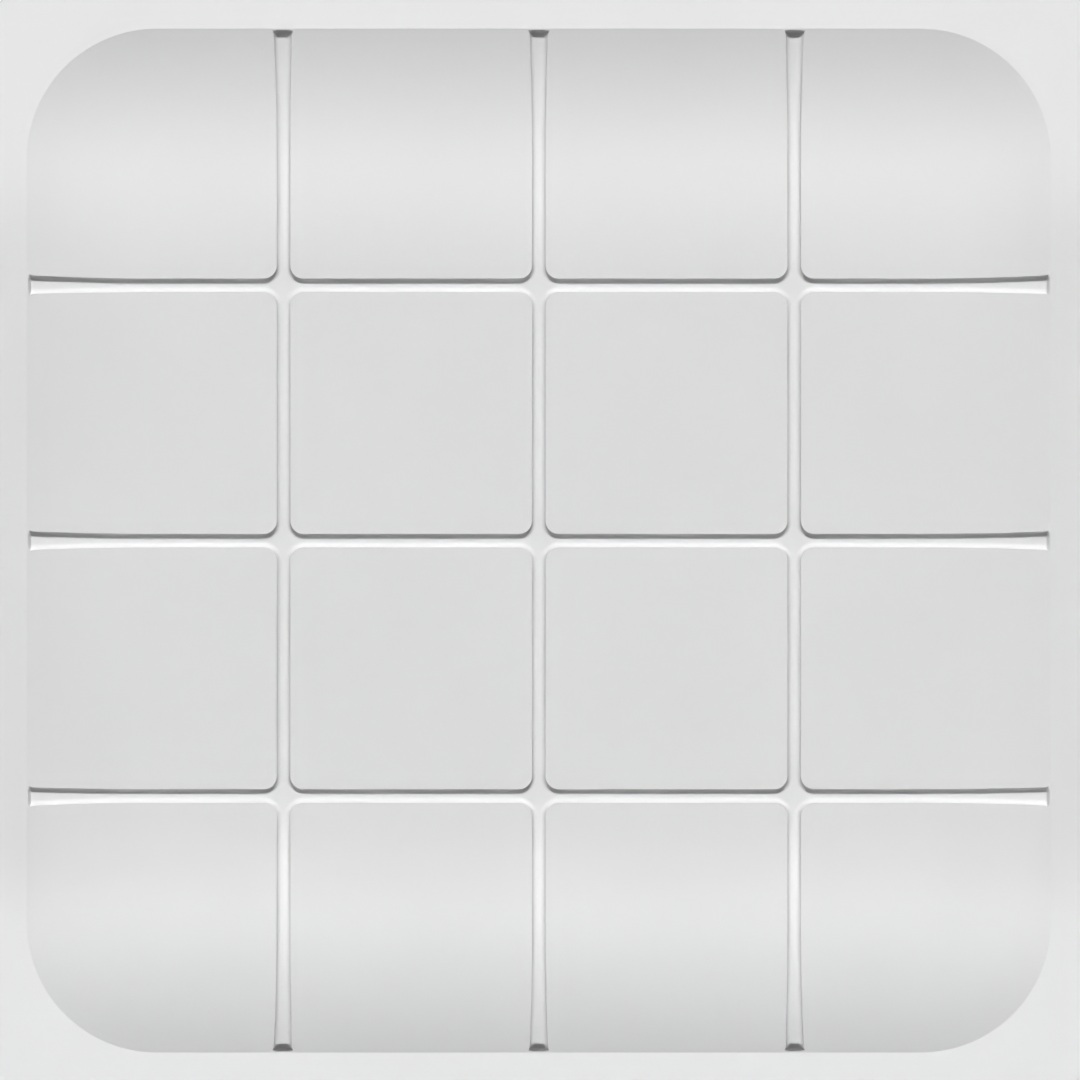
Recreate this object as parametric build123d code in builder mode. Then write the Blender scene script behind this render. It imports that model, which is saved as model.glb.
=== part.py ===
"""Moulded wall panel with a dished face divided into square tiles by bevelled grooves.

The panel is one moulded sheet of even thickness, open at the back. A flat border runs round the
edge and turns back as a skirt. Inside the border the face dips into a shallow dish: flat in the
middle, with round sides and ball-shaped corners. A grid of grooves divides the dish into tiles.
A groove has steep walls, a bevel along the foot of each wall, and a narrow flat floor. It keeps its
depth below the face as it climbs the side of the dish, opens out a little on the way, and ends in a
steep wall just inside the border. The backs of the level grooves and the edge of the skirt lie in
one plane, which is the plane of the wall behind.

Millimetres. The origin is the middle of the back plane, and the face looks along +Z.
"""

import os
from math import atan2, degrees, hypot, sqrt, tan

from build123d import *

# Panel
PANEL_SIZE = 500.0  # length of each side
SHEET = 1.2  # thickness of the moulded sheet
RIM_RADIUS = 1.0  # rounding of the outer edge of the border
BORDER_WIDTH = 14.0  # flat border outside the dish

# Dish
DISH_DEPTH = 9.3  # from the border down to the tiles in the middle
DISH_CORNER_RADIUS = 60.0  # corner of the dish where it meets the border
BROW_RADIUS = 3.0  # rounding of the brow between border and dish

# Tiles and grooves
TILES_PER_SIDE = 4
TILE_CORNER_RADIUS = 6.0  # corner of a tile on its face
TILE_EDGE_BEVEL = 0.3  # bevel between a tile's face and its side, along each
GROOVE_DEPTH = 2.5  # square to the face
GROOVE_MOUTH = 6.25  # width at the face, in the middle of the panel
GROOVE_FLOOR = 4.2  # width between the feet of the walls, before they are bevelled
GROOVE_FOOT_BEVEL = 1.25  # bevel in the fold between a wall and the floor, along each
GROOVE_FLARE = 1.2  # what each side of a groove has moved out by when it reaches the border
GROOVE_END_LAND = 0.6  # strip of dish left between the end of a groove and the border
GROOVE_END_RUN = 1.6  # level length of the steep wall that ends a groove

# Modelling allowances
FLARE_STATIONS = 5  # sections that carry a groove up the side of the dish
OVERLAP = 1.0  # how far a cutting tool reaches past the surface it cuts
STEEP = 0.8  # upward part of the normal below which a face counts as a groove wall
TOUCHING = 0.01  # how near an edge must be to the dish to lie on it

# Sizes that follow
PANEL_DEPTH = DISH_DEPTH + GROOVE_DEPTH + SHEET
DISH_HALF = PANEL_SIZE / 2 - BORDER_WIDTH
TILE_PITCH = 2 * DISH_HALF / TILES_PER_SIDE
FLAT_HALF = DISH_HALF - DISH_CORNER_RADIUS
DISH_RADIUS = (DISH_CORNER_RADIUS**2 + DISH_DEPTH**2) / (2 * DISH_DEPTH)
FIELD_HEIGHT = PANEL_DEPTH - DISH_DEPTH
WALL_RUN = (GROOVE_MOUTH - GROOVE_FLOOR) / 2
WALL_ANGLE = atan2(GROOVE_DEPTH, WALL_RUN)
WALL_TAPER = 90 - degrees(WALL_ANGLE)
GROOVE_LINES = [TILE_PITCH * (line - TILES_PER_SIDE / 2) for line in range(1, TILES_PER_SIDE)]


def face_height(back, run):
    """Height of the face, or of its back, at a level run up the side of the dish."""
    radius = DISH_RADIUS + back
    return FIELD_HEIGHT - back + radius - sqrt(radius**2 - run**2)


def dish_block(back):
    """Block with rounded edges and corners that fills the dish, grown by `back` beyond the face."""
    radius = DISH_RADIUS + back
    with BuildPart() as block:
        with Locations((0, 0, FIELD_HEIGHT - back)):
            Box(
                2 * (FLAT_HALF + radius),
                2 * (FLAT_HALF + radius),
                2 * radius + OVERLAP,
                align=(Align.CENTER, Align.CENTER, Align.MIN),
            )
        underside = block.faces().sort_by(Axis.Z)[0]
        fillet(block.edges().filter_by(Axis.Z) + underside.edges(), radius=radius)
    return block.part


def foot_bevel(back):
    """Bevel in the foot of a groove, or in the surface `back` behind it."""
    return GROOVE_FOOT_BEVEL + back * (tan(WALL_ANGLE / 2) - tan(WALL_ANGLE / 4))


def is_foot(edge):
    """Whether an edge under the level grooves is the foot of a wall, not the end of a groove."""
    middle = edge @ 0.5
    return max(abs(middle.X), abs(middle.Y)) < FLAT_HALF - TOUCHING


def level_grooves(back):
    """Grooves in the level middle of the dish: what is left between the bevelled tiles."""
    widening = back * tan(WALL_ANGLE / 2)
    foot = TILE_PITCH - GROOVE_FLOOR - 2 * widening
    foot_radius = TILE_CORNER_RADIUS + WALL_RUN - widening
    floor = face_height(back + GROOVE_DEPTH, 0)
    with BuildPart() as tiles:
        with BuildSketch(Plane.XY.offset(floor)):
            with GridLocations(TILE_PITCH, TILE_PITCH, TILES_PER_SIDE, TILES_PER_SIDE):
                RectangleRounded(foot, foot, foot_radius)
        extrude(amount=GROOVE_DEPTH, taper=WALL_TAPER)
    with BuildPart() as grooves:
        with Locations((0, 0, floor)):
            Box(
                2 * FLAT_HALF,
                2 * FLAT_HALF,
                GROOVE_DEPTH,
                align=(Align.CENTER, Align.CENTER, Align.MIN),
            )
        add(tiles.part, mode=Mode.SUBTRACT)
        underside = grooves.faces().sort_by(Axis.Z)[0]
        chamfer(underside.edges().filter_by(is_foot), length=foot_bevel(back))
    return grooves.part


def groove_section(back, run):
    """Cross-section of a groove at a level run up the side of the dish."""
    flare = GROOVE_FLARE * (face_height(0, run) - FIELD_HEIGHT) / DISH_DEPTH
    half_mouth = GROOVE_MOUTH / 2 + back * tan(WALL_ANGLE / 2) + flare
    half_foot = half_mouth - WALL_RUN
    mouth = face_height(back, run)
    floor = face_height(back + GROOVE_DEPTH, run)
    lift = OVERLAP * WALL_RUN / (mouth - floor)
    where = Plane(origin=(FLAT_HALF + run, 0, 0), x_dir=(0, 1, 0), z_dir=(1, 0, 0))
    with BuildSketch(where) as section:
        with BuildLine():
            Polyline(
                (-half_foot, floor),
                (half_foot, floor),
                (half_mouth + lift, mouth + OVERLAP),
                (-half_mouth - lift, mouth + OVERLAP),
                close=True,
            )
        make_face()
        feet = section.vertices().sort_by(Axis.Y)[:2]
        chamfer(feet, length=foot_bevel(back))
    return section.sketch


def end_wall(back):
    """Plane of the steep wall that ends a groove, facing into the groove."""
    mouth_run = DISH_CORNER_RADIUS - GROOVE_END_LAND
    mouth = face_height(0, mouth_run)
    foot = face_height(GROOVE_DEPTH, mouth_run - GROOVE_END_RUN)
    wall = Plane(
        origin=(FLAT_HALF + mouth_run, 0, mouth),
        x_dir=(0, 1, 0),
        z_dir=(foot - mouth, 0, GROOVE_END_RUN),
    )
    return wall.offset(-back)


def climbing_grooves(back):
    """Grooves that climb the sides of the dish, each from the level middle to its end wall."""
    step = (DISH_CORNER_RADIUS + OVERLAP) / (FLARE_STATIONS - 1)
    with BuildPart() as groove:
        loft([groove_section(back, step * station) for station in range(FLARE_STATIONS)])
        split(bisect_by=end_wall(back), keep=Keep.TOP)
    with BuildPart() as side:
        with Locations(*[(0, line, 0) for line in GROOVE_LINES]):
            add(groove.part)
    with BuildPart() as grooves:
        with PolarLocations(0, 4):
            add(side.part)
    return grooves.part


def pressed_block(back):
    """Square block with the dish and its grooves pressed into the top, its faces moved in by `back`."""
    size = PANEL_SIZE - 2 * back
    dish = dish_block(back)
    level = level_grooves(back)
    climbing = climbing_grooves(back)
    with BuildPart() as pressed:
        Box(size, size, PANEL_DEPTH - back, align=(Align.CENTER, Align.CENTER, Align.MIN))
        add(dish, mode=Mode.SUBTRACT)
        border = pressed.faces().filter_by(Axis.Z).sort_by(Axis.Z)[-1]
        fillet(border.inner_wires()[0].edges(), radius=BROW_RADIUS - back)
        add(level, mode=Mode.SUBTRACT)
        add(climbing, mode=Mode.SUBTRACT)
    return pressed.part


def is_groove_wall(face):
    """Whether a face is too steep to belong to a tile, a groove floor or the border."""
    return face.normal_at().Z < STEEP


def is_on_dish(edge):
    """Whether the middle of an edge lies on the dish, where the faces of the tiles are."""
    middle = edge @ 0.5
    run = hypot(max(abs(middle.X) - FLAT_HALF, 0), max(abs(middle.Y) - FLAT_HALF, 0))
    end = DISH_CORNER_RADIUS - GROOVE_END_LAND - TOUCHING
    return run < end and abs(middle.Z - face_height(0, run)) < TOUCHING


if __name__ == "__main__":
    outside = pressed_block(0)
    inside = pressed_block(SHEET)
    with BuildPart() as panel:
        add(outside)
        border = panel.faces().filter_by(Axis.Z).sort_by(Axis.Z)[-1]
        fillet(border.outer_wire().edges(), radius=RIM_RADIUS)
        walls = panel.faces().filter_by(is_groove_wall)
        chamfer(walls.edges().filter_by(is_on_dish), length=TILE_EDGE_BEVEL)
        add(inside, mode=Mode.SUBTRACT)
    panel.part.label = "panel"
    os.makedirs("parts", exist_ok=True)
    export_step(panel.part, "parts/panel.step")
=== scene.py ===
"""Moulded wall panel, lying face up and seen from straight above under plain studio light.

The panel is one closed sheet of satin white plastic. Its face and its back are made the same way: the
rows of a flat grid follow the lips and feet of the grooves and the rings of the dish, the grid is drawn
into the outline of the tiles and the dish, and every point is set to its height. Both sides turn down
at the edge as a skirt, and a flat strip joins the two skirts at the wall.

Metres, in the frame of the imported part: the face looks along +Z and the panel lies on its back.
"""

import logging
from dataclasses import dataclass
from enum import Enum
from functools import cached_property
from math import atan2, copysign, cos, degrees, hypot, pi, radians, sin, sqrt, tan

import bmesh
import bpy
from mathutils import Matrix, Vector


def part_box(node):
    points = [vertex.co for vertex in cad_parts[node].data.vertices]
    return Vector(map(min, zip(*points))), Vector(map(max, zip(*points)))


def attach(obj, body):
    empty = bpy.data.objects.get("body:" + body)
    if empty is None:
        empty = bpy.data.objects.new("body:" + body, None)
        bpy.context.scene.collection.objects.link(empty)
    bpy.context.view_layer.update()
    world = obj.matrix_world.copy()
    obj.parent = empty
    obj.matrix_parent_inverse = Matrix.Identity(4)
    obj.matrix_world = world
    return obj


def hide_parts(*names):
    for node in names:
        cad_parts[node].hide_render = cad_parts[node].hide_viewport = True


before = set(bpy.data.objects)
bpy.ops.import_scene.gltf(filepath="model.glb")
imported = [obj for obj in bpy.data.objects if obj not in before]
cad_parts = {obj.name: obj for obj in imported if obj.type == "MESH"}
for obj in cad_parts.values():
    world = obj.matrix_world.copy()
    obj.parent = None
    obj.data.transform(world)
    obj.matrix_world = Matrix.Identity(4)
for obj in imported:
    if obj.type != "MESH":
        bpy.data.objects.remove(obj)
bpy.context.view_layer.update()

log = logging.getLogger("wall_panel")

HAIR = 1e-6  # length below which two places count as the same
FINE = HAIR / 10  # how closely a place is found or cut
HALF_CORNER = 45.0  # degrees from the start of a tile's corner to its middle
OVERHEAD = 90.0  # elevation of a lamp that hangs straight above, in degrees

Element = bmesh.types.BMVert | bmesh.types.BMEdge | bmesh.types.BMFace  # any piece of a mesh


def clamp(value: float, low: float = 0.0, high: float = 1.0) -> float:
    """Hold a value between two limits."""
    return max(low, min(high, value))


@dataclass(frozen=True)
class Dish:
    """Shallow hollow of the face: flat in the middle, with round sides and ball-shaped corners."""

    half: float = 0.236  # from the middle of the panel to the border
    corner: float = 0.060  # corner radius where the dish meets the border
    depth: float = 0.0093  # from the border down to the tiles in the middle
    tile_height: float = 0.0037  # from the wall to the tiles in the middle

    @property
    def flat(self) -> float:
        """Half side of the flat middle."""
        return self.half - self.corner

    @property
    def radius(self) -> float:
        """Radius of the round sides, measured on the face."""
        return (self.corner**2 + self.depth**2) / (2 * self.depth)

    def run(self, x: float, y: float) -> float:
        """Level distance from a place to the flat middle, zero inside it."""
        return hypot(max(abs(x) - self.flat, 0.0), max(abs(y) - self.flat, 0.0))

    def height(self, run: float, back: float) -> float:
        """Height of the face, or of a surface behind it, up the side of the dish.

        Args:
            run: Level distance from the flat middle.
            back: Distance behind the face, square to it.

        Returns:
            The height above the wall plane.
        """
        radius = self.radius + back
        return self.tile_height - back + radius - sqrt(radius**2 - run**2)

    def reach(self, back: float) -> float:
        """Run at which the dish, or a surface behind it, comes up to the border."""
        radius = self.radius + back
        return sqrt(2 * radius * self.depth - self.depth**2)


@dataclass(frozen=True)
class Groove:
    """Groove between two rows of tiles, and the tile corners where two grooves cross."""

    mouth: float = 0.00625  # width at the face, in the middle of the panel
    floor: float = 0.0042  # width between the feet of the walls, before they are rounded
    depth: float = 0.0025  # square to the face
    flare: float = 0.0012  # what each side has moved out by when it reaches the border
    tile_corner: float = 0.006  # corner radius of a tile on its face
    end_land: float = 0.0006  # strip of dish left between the end of a groove and the border
    end_run: float = 0.0011  # level length of the steep wall at the end of a groove
    end_corner: float = 0.0020  # radius of the inside corners at the end, on the face
    foot_radius: float = 0.0023  # rounding in the fold between a wall and the floor
    foot_steps: int = 6  # strips across that rounding

    @property
    def wall_run(self) -> float:
        """Level width of one wall."""
        return (self.mouth - self.floor) / 2

    @property
    def wall_angle(self) -> float:
        """Slope of a wall from the level, in radians."""
        return atan2(self.depth, self.wall_run)

    @property
    def reach(self) -> float:
        """Distance from the groove's middle line to the centre of the tile corners."""
        return self.mouth / 2 + self.tile_corner

    def corner(self, back: float) -> float:
        """Corner radius of a tile on the face, or on a surface behind it."""
        return self.tile_corner - back * tan(self.wall_angle / 2)

    def wall_points(self, back: float) -> list[tuple[float, float]]:
        """Section of a wall and its rounded foot, on the face or on a surface behind it.

        Args:
            back: Distance behind the face.

        Returns:
            Pairs of level distance from the lip and depth below it, from the lip to the floor.
        """
        radius = self.foot_radius + back
        end = self.wall_run + radius * tan(self.wall_angle / 2)
        points = [(0.0, 0.0)]
        for step in range(self.foot_steps, -1, -1):
            angle = self.wall_angle * step / self.foot_steps
            points.append((end - radius * sin(angle), self.depth - radius * (1 - cos(angle))))
        return points


@dataclass(frozen=True)
class SheetSide:
    """One side of the sheet: its face, or its back one thickness behind.

    A quarter of the side is drawn and mirrored twice. Every point starts at a grid place (u, v), where
    the rows of the grid are the lips and feet of the grooves and the rings of the dish.
    """

    dish: Dish
    groove: Groove
    pitch: float  # from one groove to the next
    half: float  # from the middle of the panel to the outside of the skirt
    border_height: float
    back: float  # distance behind the face
    corner_steps: int = 6  # rows from the start of a tile's corner to its middle
    ring_steps: int = 20  # rings up the side of the dish
    tile_steps: int = 3  # strips across a tile between its corners
    flat_within: float = 0.0003  # bend beyond which a four-sided face is cut in two

    def end_height(self, run: float) -> float:
        """Height of the steep wall that ends a groove, or of its back.

        Args:
            run: Level distance up the side of the dish.

        Returns:
            The height above the wall plane.
        """
        top_run = self.dish.corner - self.groove.end_land
        top = self.dish.height(top_run, 0.0)
        foot = self.dish.height(top_run - self.groove.end_run, self.groove.depth)
        slope = (top - foot) / self.groove.end_run
        return top + slope * (run - top_run) - self.back * sqrt(1 + slope**2)

    def end_crossing(self, depth: float) -> float:
        """Run at which a groove's end wall meets the surface a given depth behind this side.

        Args:
            depth: Zero for the tiles, or the groove's depth for its floor.

        Returns:
            The run in metres, found by halving, up to where the dish meets the border.
        """
        low, high = self.dish.corner / 2, self.dish.reach(self.back)
        while high - low > FINE:
            middle = (low + high) / 2
            if self.end_height(middle) < self.dish.height(middle, self.back + depth):
                low = middle
            else:
                high = middle
        return (low + high) / 2

    @cached_property
    def end_lip(self) -> float:
        """Run at which a groove ends."""
        return self.end_crossing(0.0)

    def is_at_border(self, run: float) -> bool:
        """Whether a run is where the dish meets the border."""
        return run > self.dish.reach(self.back) - HAIR

    def end_share(self, run: float) -> float:
        """How deep the end wall leaves a groove, as a share of its depth.

        Args:
            run: Level distance up the side of the dish.

        Returns:
            Zero past the end of the groove, one where the end wall has reached its floor.
        """
        if self.is_at_border(run):
            return 0.0
        face = self.dish.height(run, self.back)
        floor = self.dish.height(run, self.back + self.groove.depth)
        return clamp((face - self.end_height(run)) / (face - floor))

    def rows(self) -> list[float]:
        """Places of the grid's rows along a half side.

        Returns:
            The places, from the middle of the panel outwards.
        """
        groove = self.groove
        corner = groove.corner(self.back)
        walls = groove.wall_points(self.back)
        offsets = [groove.reach - corner - distance for distance, _ in walls[1:]]
        for step in range(self.corner_steps + 1):
            offsets.append(groove.reach - corner * tan(radians(HALF_CORNER * step / self.corner_steps)))
        rows = [self.pitch]
        for line in (0.0, self.pitch):
            for offset in offsets:
                rows += [line - offset, line + offset]
        spans = ((groove.reach, self.pitch - groove.reach), (self.pitch + groove.reach, self.dish.flat))
        for start, stop in spans:
            rows += [start + (stop - start) * step / self.tile_steps for step in range(1, self.tile_steps)]
        reach = self.dish.reach(self.back)
        rows += [self.dish.flat + reach * step / self.ring_steps for step in range(self.ring_steps + 1)]
        rows += [self.dish.flat + self.end_crossing(depth) for _, depth in walls]
        return sorted(row for row in rows if row > HAIR)

    def offset_to_line(self, place: float) -> tuple[float, float]:
        """Nearest groove line to a grid place, and the signed distance from it."""
        line = 0.0 if abs(place) < self.pitch / 2 else self.pitch
        return line, place - line

    def groove_share(self, u: float, v: float) -> float:
        """How deep in a groove a grid place is, as a share of its depth.

        Args:
            u: Grid place along X.
            v: Grid place along Y.

        Returns:
            Zero on a tile, one on the floor of a groove.
        """
        nearness = max(self.groove.reach - abs(self.offset_to_line(place)[1]) for place in (u, v))
        distance = nearness - self.groove.corner(self.back)
        points = self.groove.wall_points(self.back)
        for (near, high), (far, low) in zip(points, points[1:]):
            if distance < far:
                depth = high + (low - high) * (distance - near) / (far - near)
                return clamp(depth, 0.0, low) / self.groove.depth
        return 1.0

    def round_tile_corner(self, du: float, dv: float) -> tuple[float, float]:
        """Draw the square corner of a tile, near a crossing of two grooves, into an arc.

        Args:
            du: Signed distance from the crossing's middle along X.
            dv: The same along Y.

        Returns:
            The two distances after rounding.
        """
        reach = self.groove.reach
        p, q = reach - abs(du), reach - abs(dv)
        if p <= HAIR or q <= HAIR:
            return du, dv
        ring = max(p, q)
        foot = self.groove.corner(self.back) + self.groove.wall_points(self.back)[-1][0]
        weight = clamp((reach - ring) / (reach - foot))
        scale = 1 + weight * (ring / hypot(p, q) - 1)
        return copysign(reach - p * scale, du), copysign(reach - q * scale, dv)

    def round_end_corner(self, run: float, offset: float) -> tuple[float, float]:
        """Draw the square corner between the side of a groove and its end wall into an arc.

        Args:
            run: Level distance up the side of the dish.
            offset: Signed distance from the groove's middle line.

        Returns:
            The two distances after rounding.
        """
        radius = self.groove.end_corner + self.back * tan(self.groove.wall_angle / 2)
        lip = self.groove.reach - self.groove.corner(self.back)
        p, q = radius - (self.end_lip - run), radius - (lip - abs(offset))
        if self.is_at_border(run) or not (0 < p < radius + HAIR and 0 < q < radius + HAIR):
            return run, offset
        scale = max(p, q) / hypot(p, q)
        return run + p * (scale - 1), offset + copysign(q * (scale - 1), offset)

    def flare(self, offset: float, run: float) -> float:
        """How far a point beside a groove, up the side of the dish, moves out with the groove's side.

        Args:
            offset: Signed distance from the groove's middle line.
            run: Level distance up the side of the dish.

        Returns:
            The signed move away from the groove's middle line.
        """
        reach = self.groove.reach
        foot = reach - self.groove.corner(self.back) - self.groove.wall_points(self.back)[-1][0]
        rise = (self.dish.height(run, 0.0) - self.dish.tile_height) / self.dish.depth
        inner = clamp(abs(offset) / foot)
        outer = clamp((2 * reach - abs(offset)) / reach)
        return copysign(self.groove.flare * rise * inner * outer, offset)

    def place(self, u: float, v: float) -> Vector:
        """Where a grid place lies on this side of the sheet.

        Args:
            u: Grid place along X, zero or more.
            v: Grid place along Y, zero or more.

        Returns:
            The point on the sheet.
        """
        dish, reach = self.dish, self.dish.reach(self.back)
        over_u, over_v = max(u - dish.flat, 0.0), max(v - dish.flat, 0.0)
        ring = max(over_u, over_v)
        if ring > reach + HAIR:
            return Vector((u, v, self.border_height))
        if over_u > 0 and over_v > 0:
            scale = ring / hypot(over_u, over_v)
            x, y = dish.flat + over_u * scale, dish.flat + over_v * scale
            return Vector((x, y, dish.height(dish.run(x, y), self.back)))
        line_u, du = self.offset_to_line(u)
        line_v, dv = self.offset_to_line(v)
        share = min(self.groove_share(u, v), self.end_share(ring))
        if over_u > 0:
            ring, dv = self.round_end_corner(ring, dv)
            x, y = dish.flat + ring, line_v + dv + self.flare(dv, ring)
        elif over_v > 0:
            ring, du = self.round_end_corner(ring, du)
            x, y = line_u + du + self.flare(du, ring), dish.flat + ring
        else:
            du, dv = self.round_tile_corner(du, dv)
            x, y = line_u + du, line_v + dv
        face = dish.height(ring, self.back)
        floor = dish.height(ring, self.back + self.groove.depth)
        return Vector((x, y, face + (floor - face) * share))

    def build(self) -> bmesh.types.BMesh:
        """Build this side of the sheet with its skirt, open along the edge that meets the other side.

        Returns:
            A mesh with its faces turned up, which the caller frees.
        """
        sheet = bmesh.new()
        quarter = Matrix.Translation((self.half / 2, self.half / 2, 0.0))
        bmesh.ops.create_grid(sheet, x_segments=1, y_segments=1, size=self.half / 2, matrix=quarter)
        for row in self.rows():
            for normal in ((1, 0, 0), (0, 1, 0)):
                bmesh.ops.bisect_plane(
                    sheet, geom=everything(sheet), dist=FINE, plane_co=(row, row, 0.0), plane_no=normal
                )
        for vert in sheet.verts:
            vert.co = self.place(vert.co.x, vert.co.y)
        bent = [face for face in sheet.faces if len(face.verts) == 4 and bend(face) > self.flat_within]
        bmesh.ops.triangulate(sheet, faces=bent, quad_method="LONG_EDGE")
        for axis in ("X", "Y"):
            bmesh.ops.mirror(sheet, geom=everything(sheet), merge_dist=HAIR, axis=axis)
        outline = [edge for edge in sheet.edges if edge.is_boundary]
        skirt = bmesh.ops.extrude_edge_only(sheet, edges=outline)
        for element in skirt["geom"]:
            if isinstance(element, bmesh.types.BMVert):
                element.co.z = 0.0
        bmesh.ops.recalc_face_normals(sheet, faces=sheet.faces[:])
        if sum(face.normal.z for face in sheet.faces) < 0:
            bmesh.ops.reverse_faces(sheet, faces=sheet.faces[:])
        return sheet


def everything(sheet: bmesh.types.BMesh) -> list[Element]:
    """All points, edges and faces of a mesh."""
    return sheet.verts[:] + sheet.edges[:] + sheet.faces[:]


def bend(face: bmesh.types.BMFace) -> float:
    """How far a four-sided face is from flat.

    Args:
        face: The face.

    Returns:
        Distance from its fourth corner to the plane of the other three.
    """
    first, second, third, fourth = (vert.co for vert in face.verts)
    normal = (second - first).cross(third - first)
    return abs((fourth - first).dot(normal.normalized())) if normal.length > 0 else 0.0


def ridge_angle(edge: bmesh.types.BMEdge) -> float:
    """Angle that the sheet turns by at an edge, in degrees, above zero at a ridge."""
    return degrees(edge.calc_face_angle_signed(0.0)) if len(edge.link_faces) == 2 else 0.0


@dataclass(frozen=True)
class Rounding:
    """Rounding of all the ridges of a sheet that turn by an angle between two limits."""

    least: float  # degrees
    most: float  # degrees
    radius: float
    segments: int  # strips across the rounding

    def build(self, sheet: bmesh.types.BMesh) -> None:
        """Round the ridges.

        Args:
            sheet: The mesh to work on.
        """
        ridges = [edge for edge in sheet.edges if self.least < ridge_angle(edge) < self.most]
        turn = radians(sum(ridge_angle(edge) for edge in ridges) / len(ridges))
        bmesh.ops.bevel(
            sheet,
            geom=ridges,
            offset=self.radius * tan(turn / 2),
            offset_type="OFFSET",
            segments=self.segments,
            profile=0.5,
            affect="EDGES",
            clamp_overlap=True,
            loop_slide=True,
            material=-1,
        )


@dataclass(frozen=True)
class SpeckleGroup:
    """Shader node group for the very fine speckle of a moulded or painted surface."""

    name: str = "fine_speckle"
    grain_detail: float = 3.0
    grain_roughness: float = 0.6
    cloud_detail: float = 2.0
    cloud_roughness: float = 0.5

    def build(self) -> bpy.types.ShaderNodeTree:
        """Make the group, or find the one that exists.

        Returns:
            A node group with Vector, Grain Scale and Cloud Scale in, and Height and Cloud out.
        """
        tree = bpy.data.node_groups.get(self.name)
        if tree:
            return tree
        tree = bpy.data.node_groups.new(self.name, "ShaderNodeTree")
        tree.interface.new_socket("Vector", in_out="INPUT", socket_type="NodeSocketVector")
        for label in ("Grain Scale", "Cloud Scale"):
            tree.interface.new_socket(label, in_out="INPUT", socket_type="NodeSocketFloat")
        for label in ("Height", "Cloud"):
            tree.interface.new_socket(label, in_out="OUTPUT", socket_type="NodeSocketFloat")
        inside = tree.nodes.new("NodeGroupInput")
        outside = tree.nodes.new("NodeGroupOutput")
        for scale, output, detail, roughness in (
            ("Grain Scale", "Height", self.grain_detail, self.grain_roughness),
            ("Cloud Scale", "Cloud", self.cloud_detail, self.cloud_roughness),
        ):
            noise = tree.nodes.new("ShaderNodeTexNoise")
            noise.inputs["Detail"].default_value = detail
            noise.inputs["Roughness"].default_value = roughness
            tree.links.new(inside.outputs["Vector"], noise.inputs["Vector"])
            tree.links.new(inside.outputs[scale], noise.inputs["Scale"])
            tree.links.new(noise.outputs["Fac"], outside.inputs[output])
        return tree


@dataclass(frozen=True)
class SpeckledFinish:
    """Matte or satin finish with a fine speckle and a faint cloudiness of shade and gloss."""

    name: str
    light: tuple[float, float, float]
    dark: tuple[float, float, float]
    roughness: tuple[float, float]  # where the cloudiness is at its least and at its most
    grain_scale: float
    cloud_scale: float
    relief: float  # height of the speckle
    specular: float
    shade_span: tuple[float, float] = (0.3, 0.7)  # cloudiness that shows the dark and the light shade

    def build(self) -> bpy.types.Material:
        """Make the material.

        Returns:
            A material that reads object coordinates.
        """
        material = bpy.data.materials.new(self.name)
        material.use_nodes = True
        nodes, links = material.node_tree.nodes, material.node_tree.links
        shader = nodes["Principled BSDF"]
        shader.inputs["Specular IOR Level"].default_value = self.specular
        coordinates = nodes.new("ShaderNodeTexCoord")
        speckle = nodes.new("ShaderNodeGroup")
        speckle.node_tree = SpeckleGroup().build()
        speckle.inputs["Grain Scale"].default_value = self.grain_scale
        speckle.inputs["Cloud Scale"].default_value = self.cloud_scale
        links.new(coordinates.outputs["Object"], speckle.inputs["Vector"])
        shade = nodes.new("ShaderNodeValToRGB")
        for stop, place, colour in zip(shade.color_ramp.elements, self.shade_span, (self.dark, self.light)):
            stop.position = place
            stop.color = (*colour, 1.0)
        links.new(speckle.outputs["Cloud"], shade.inputs["Fac"])
        links.new(shade.outputs["Color"], shader.inputs["Base Color"])
        gloss = nodes.new("ShaderNodeMapRange")
        gloss.inputs["To Min"].default_value, gloss.inputs["To Max"].default_value = self.roughness
        links.new(speckle.outputs["Cloud"], gloss.inputs["Value"])
        links.new(gloss.outputs["Result"], shader.inputs["Roughness"])
        bump = nodes.new("ShaderNodeBump")
        bump.inputs["Distance"].default_value = self.relief
        links.new(speckle.outputs["Height"], bump.inputs["Height"])
        links.new(bump.outputs["Normal"], shader.inputs["Normal"])
        return material


WHITE_PVC = SpeckledFinish(
    name="white_pvc",
    light=(0.745, 0.745, 0.745),
    dark=(0.730, 0.730, 0.730),
    roughness=(0.64, 0.72),
    grain_scale=1500.0,
    cloud_scale=12.0,
    relief=0.00001,
    specular=0.3,
)
PALE_FLOOR = SpeckledFinish(
    name="pale_floor",
    light=(0.66, 0.66, 0.66),
    dark=(0.64, 0.64, 0.64),
    roughness=(0.7, 0.8),
    grain_scale=300.0,
    cloud_scale=1.5,
    relief=0.00002,
    specular=0.3,
)


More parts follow.
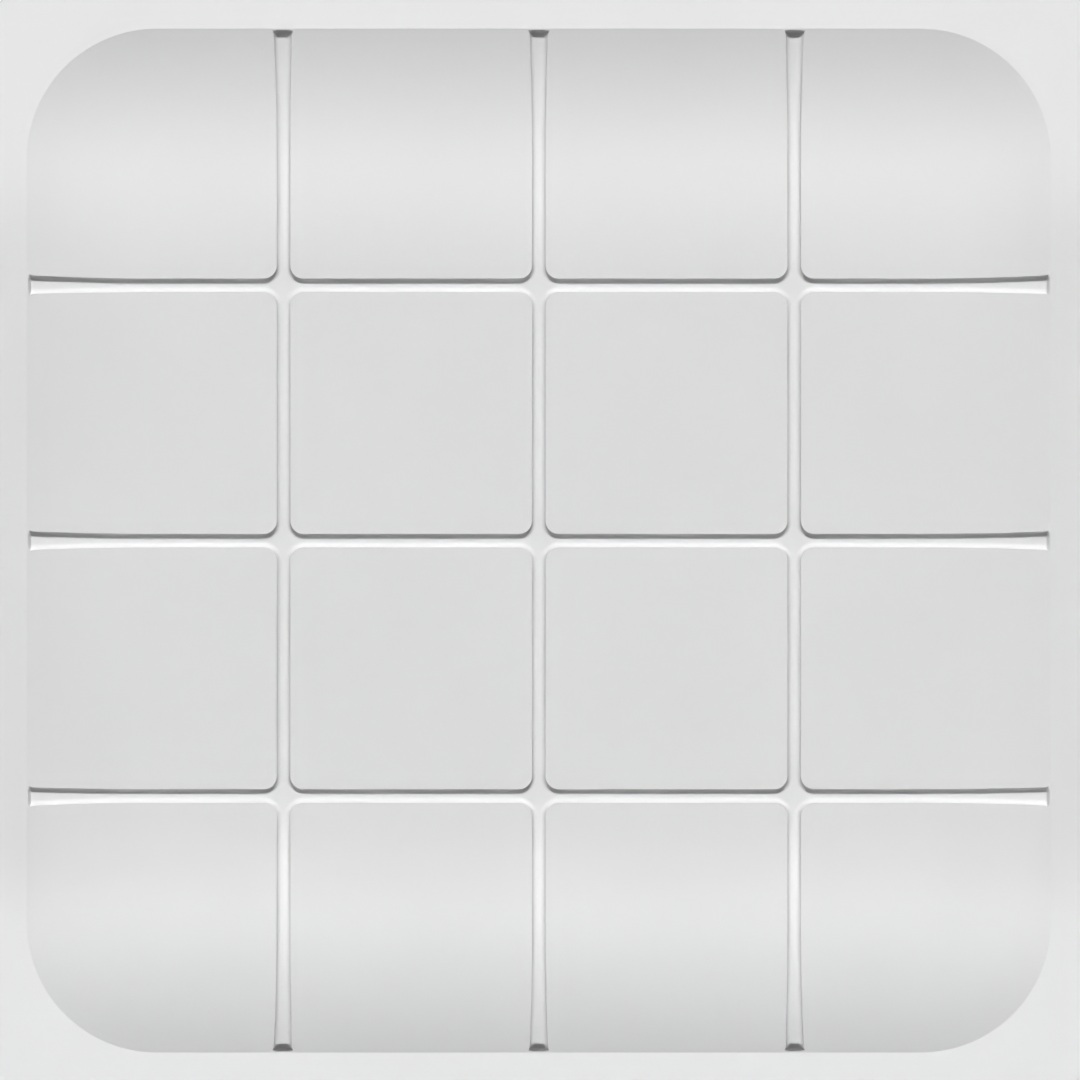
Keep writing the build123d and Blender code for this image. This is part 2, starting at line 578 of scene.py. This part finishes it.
@dataclass(frozen=True)
class WallPanel:
    """The moulded panel: face, back and skirt as one closed sheet."""

    dish: Dish = Dish()
    groove: Groove = Groove()
    thickness: float = 0.0012
    tiles_per_side: int = 4
    brow: Rounding = Rounding(least=15.0, most=25.0, radius=0.003, segments=4)
    rim: Rounding = Rounding(least=89.0, most=91.0, radius=0.001, segments=4)
    lips: Rounding = Rounding(least=28.0, most=69.0, radius=0.0003, segments=3)
    smooth_below: float = 30.0  # fold in degrees up to which the sheet is shaded as smooth

    def side(self, back: float) -> SheetSide:
        """One side of the sheet.

        Args:
            back: Distance behind the face.

        Returns:
            The side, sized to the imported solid.
        """
        _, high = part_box("panel")
        return SheetSide(
            dish=self.dish,
            groove=self.groove,
            pitch=2 * self.dish.half / self.tiles_per_side,
            half=high[0] - back,
            border_height=high[2] - back,
            back=back,
        )

    def build_sheet(self) -> bmesh.types.BMesh:
        """Build the face, round its ridges and join the back to it.

        Returns:
            A closed mesh that the caller frees.
        """
        sheet = self.side(0.0).build()
        for rounding in (self.brow, self.rim, self.lips):
            rounding.build(sheet)
        back = self.side(self.thickness).build()
        behind = bpy.data.meshes.new("behind")
        back.to_mesh(behind)
        back.free()
        sheet.from_mesh(behind)
        bpy.data.meshes.remove(behind)
        seam = [edge for edge in sheet.edges if edge.is_boundary]
        bmesh.ops.triangle_fill(sheet, use_beauty=True, edges=seam, normal=(0.0, 0.0, -1.0))
        bmesh.ops.recalc_face_normals(sheet, faces=sheet.faces[:])
        return sheet

    def build(self, finish: bpy.types.Material) -> bpy.types.Object:
        """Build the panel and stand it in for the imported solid.

        Args:
            finish: Material of the whole sheet.

        Returns:
            The finished object.
        """
        sheet = self.build_sheet()
        mesh = bpy.data.meshes.new("panel_sheet")
        sheet.to_mesh(mesh)
        sheet.free()
        mesh.shade_smooth()
        mesh.set_sharp_from_angle(angle=radians(self.smooth_below))
        mesh.materials.append(finish)
        panel = bpy.data.objects.new("panel_sheet", mesh)
        bpy.context.scene.collection.objects.link(panel)
        weights = panel.modifiers.new("even_faces", "WEIGHTED_NORMAL")
        weights.keep_sharp = True
        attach(panel, "root")
        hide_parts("panel")
        return panel


class Side(Enum):
    """Edge of the panel that a beam comes from."""

    TOP = 1
    BOTTOM = -1


@dataclass(frozen=True)
class Beam:
    """Gridded softbox that lights one rectangle of the panel evenly, with soft edges.

    The rectangle is measured at the height of the tiles. Only the panel receives the light, so that
    the edges of the rectangle don't show on the floor.
    """

    name: str
    level: float  # light on a level surface, where 1 shows a colour as it is written
    middle: tuple[float, float]  # middle of the rectangle
    size: tuple[float, float]  # size of the rectangle along X and Y
    elevation: float  # degrees
    side: Side = Side.TOP
    throw: float = 2.26  # from the softbox to the panel
    spread: float = 1.2  # degrees

    def build(self, height: float, panel: bpy.types.Collection) -> None:
        """Hang the softbox square to its light.

        Args:
            height: Height of the tiles.
            panel: Collection that receives the light.
        """
        rise = radians(self.elevation)
        light = bpy.data.lights.new(self.name, "AREA")
        light.shape = "RECTANGLE"
        light.size = self.size[0]
        light.size_y = self.size[1] * sin(rise)
        light.spread = radians(self.spread)
        light.energy = self.level * pi * self.size[0] * self.size[1]
        away = Vector((0.0, self.side.value * cos(rise), sin(rise)))
        lamp = bpy.data.objects.new(self.name, light)
        tilt = Matrix.Rotation(self.side.value * (rise - pi / 2), 4, "X")
        lamp.matrix_world = Matrix.Translation(Vector((*self.middle, height)) + away * self.throw) @ tilt
        lamp.visible_camera = False
        lamp.light_linking.receiver_collection = panel
        bpy.context.scene.collection.objects.link(lamp)


@dataclass(frozen=True)
class Studio:
    """Floor, light and camera.

    The light comes from the side of the panel's top edge, except on the lower part of its lowest tiles,
    which a second softbox lights from the side of the bottom edge. The two ends of the panel are equally
    dark in the photo.
    """

    camera_distance: float = 3.4  # above the border
    frame_width: float = 0.4978  # what the picture shows of the panel's width
    frame_centre: tuple[float, float] = (0.00055, 0.00028)
    sensor: float = 36.0  # millimetres, as Blender states it
    sight: float = 50.0  # distance up to which the camera sees
    floor_half: float = 6.0
    elevation: float = 47.0  # of the softboxes and the floor's lamp, in degrees
    beam_level: float = 0.785
    beam_size: tuple[float, float] = (0.70, 0.55)
    divide: float = -0.151  # place along Y where the two main softboxes meet
    band: float = 0.147  # from the middle of the panel to the brighter band at each end
    band_level: float = 0.115
    fill_from: float = 0.218  # from the middle of the panel to the fill over the border
    fill_width: float = 0.12
    fill_throw: float = 3.34  # gives the fills edges as soft as those of the main softboxes
    side_level: float = 0.03
    side_elevation: float = 45.0  # degrees
    side_angle: float = 20.0  # angle that the left lamp fills, in degrees
    floor_angle: float = 3.0  # angle that the floor's lamp fills, in degrees
    sky: float = 0.137

    def build(self, floor_finish: bpy.types.Material, panel: bpy.types.Object, dish: Dish) -> None:
        """Set up the floor, the light and the camera.

        Args:
            floor_finish: Material of the floor.
            panel: The panel that the softboxes light.
            dish: Sizes of its dish.
        """
        floor = self.build_floor(floor_finish)
        self.build_softboxes(panel, dish)
        from_top = Matrix.Rotation(radians(self.elevation - OVERHEAD), 4, "X")
        self.build_sun("key_floor", self.beam_level, from_top, self.floor_angle, floor)
        from_left = Matrix.Rotation(radians(self.side_elevation - OVERHEAD), 4, "Y")
        self.build_sun("left", self.side_level, from_left, self.side_angle, None)
        self.build_sky()
        self.build_camera()

    def build_floor(self, finish: bpy.types.Material) -> bpy.types.Object:
        """Lay the floor under the panel.

        Args:
            finish: Material of the floor.

        Returns:
            The floor.
        """
        plane = bmesh.new()
        bmesh.ops.create_grid(plane, x_segments=1, y_segments=1, size=self.floor_half)
        mesh = bpy.data.meshes.new("floor")
        plane.to_mesh(mesh)
        plane.free()
        mesh.materials.append(finish)
        floor = bpy.data.objects.new("floor", mesh)
        bpy.context.scene.collection.objects.link(floor)
        return floor

    def build_softboxes(self, panel: bpy.types.Object, dish: Dish) -> None:
        """Hang the softboxes that light the panel.

        Two of them meet in a line across the lowest row of tiles. Over the raised border they leave a gap
        at that line, which a small softbox fills from above on either side.

        Args:
            panel: The panel.
            dish: Sizes of its dish.
        """
        lit = bpy.data.collections.new("lit_by_softboxes")
        lit.objects.link(panel)
        length = self.beam_size[1]
        gap = 2 * dish.depth / tan(radians(self.elevation))
        beams = []
        for name, side in (("top", Side.TOP), ("bottom", Side.BOTTOM)):
            key = (0.0, self.divide + side.value * length / 2)
            band = (0.0, side.value * (self.band + length / 2))
            beams.append(Beam(f"key_{name}", self.beam_level, key, self.beam_size, self.elevation, side))
            beams.append(Beam(f"band_{name}", self.band_level, band, self.beam_size, self.elevation, side))
        for name, sign in (("left", -1), ("right", 1)):
            middle = (sign * (self.fill_from + self.fill_width / 2), self.divide)
            size = (self.fill_width, gap)
            beams.append(Beam(f"fill_{name}", self.beam_level, middle, size, OVERHEAD, throw=self.fill_throw))
        for beam in beams:
            beam.build(dish.tile_height, lit)

    def build_sun(
        self, name: str, level: float, turn: Matrix, angle: float, receiver: bpy.types.Object | None
    ) -> None:
        """Hang a distant lamp.

        Args:
            name: Name of the lamp.
            level: Light that it throws on a level surface, where 1 shows a colour as it is written.
            turn: Turn of the lamp away from straight down.
            angle: Angle that the lamp fills as seen from the floor, in degrees.
            receiver: The only object it lights, or None for all.
        """
        sun = bpy.data.lights.new(name, "SUN")
        lamp = bpy.data.objects.new(name, sun)
        lamp.matrix_world = turn
        sun.energy = level * pi / turn[2][2]
        sun.angle = radians(angle)
        if receiver:
            lit = bpy.data.collections.new(f"lit_by_{name}")
            lit.objects.link(receiver)
            lamp.light_linking.receiver_collection = lit
        bpy.context.scene.collection.objects.link(lamp)

    def build_sky(self) -> None:
        """Fill the studio with an even white light from all round."""
        world = bpy.data.worlds.new("studio")
        world.use_nodes = True
        background = world.node_tree.nodes["Background"]
        background.inputs["Color"].default_value = (1.0, 1.0, 1.0, 1.0)
        background.inputs["Strength"].default_value = self.sky
        bpy.context.scene.world = world

    def build_camera(self) -> None:
        """Hang the camera above the panel, looking straight down, with the panel filling the frame."""
        _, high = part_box("panel")
        camera = bpy.data.cameras.new("camera")
        camera.sensor_width = self.sensor
        camera.lens = self.sensor * self.camera_distance / self.frame_width
        camera.clip_end = self.sight
        view = bpy.data.objects.new("camera", camera)
        view.location = (*self.frame_centre, high[2] + self.camera_distance)
        bpy.context.scene.collection.objects.link(view)
        bpy.context.scene.camera = view
        bpy.context.scene.view_settings.view_transform = "Standard"


def main() -> None:
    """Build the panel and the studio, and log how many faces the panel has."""
    logging.basicConfig(level=logging.INFO, format="%(name)s: %(message)s")
    wall_panel = WallPanel()
    panel = wall_panel.build(WHITE_PVC.build())
    log.info("%s: %d faces", panel.name, len(panel.data.polygons))
    Studio().build(PALE_FLOOR.build(), panel, wall_panel.dish)


if __name__ == "__main__":
    main()
